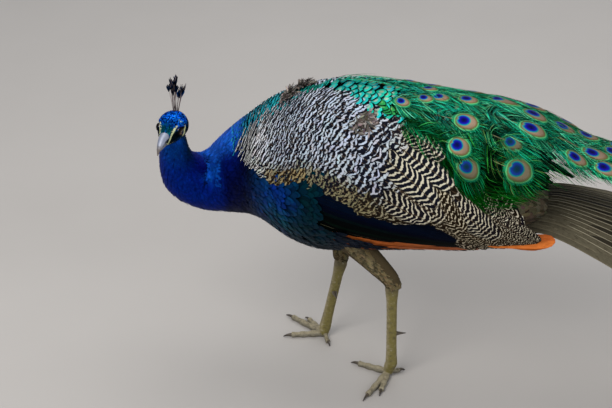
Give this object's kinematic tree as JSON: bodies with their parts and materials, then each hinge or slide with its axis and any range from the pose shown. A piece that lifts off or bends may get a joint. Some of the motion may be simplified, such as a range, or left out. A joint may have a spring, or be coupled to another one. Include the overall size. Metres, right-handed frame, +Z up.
{
  "type": "peacock figure",
  "caption": "Life-size Indian peafowl cock standing with its head turned to its left, folded wings, short train over the tail, spurred legs and a fan crest.",
  "frame": {"origin": "under the middle of the whole bird's bounding box, at the level of the soles", "axes": "+X from head to tail, +Z up, the bird's left side towards -Y"},
  "size_m": [0.9092, 0.2626, 0.5084],
  "materials": {
    "head_plumage": "satin",
    "bill_horn": "satin",
    "eye": "gloss",
    "crest_plumes": "matt",
    "neck_plumage": "satin",
    "body_plumage": "satin",
    "wing_plumage": "matt",
    "train_plumage": "satin",
    "tail_plumage": "matt",
    "thigh_plumage": "matt",
    "leg_scales": "satin",
    "claw_horn": "satin"
  },
  "bodies": {
    "root": {"head": "head_plumage", "bill_upper": "bill_horn", "bill_lower": "bill_horn", "eye_left": "eye", "eye_right": "eye", "crest": "crest_plumes", "neck_upper": "neck_plumage", "neck_lower": "neck_plumage", "trunk": "body_plumage", "wing_left": "wing_plumage", "wing_right": "wing_plumage", "train_back": "train_plumage", "train_middle": "train_plumage", "train_end": "train_plumage", "tail": "tail_plumage", "thigh_left": "thigh_plumage", "tarsus_left": "leg_scales", "foot_left": "leg_scales", "spur_left": "claw_horn", "claw_left_1": "claw_horn", "claw_left_2": "claw_horn", "claw_left_3": "claw_horn", "claw_left_4": "claw_horn", "thigh_right": "thigh_plumage", "tarsus_right": "leg_scales", "foot_right": "leg_scales", "spur_right": "claw_horn", "claw_right_1": "claw_horn", "claw_right_2": "claw_horn", "claw_right_3": "claw_horn", "claw_right_4": "claw_horn"}
  },
  "joints": []
}
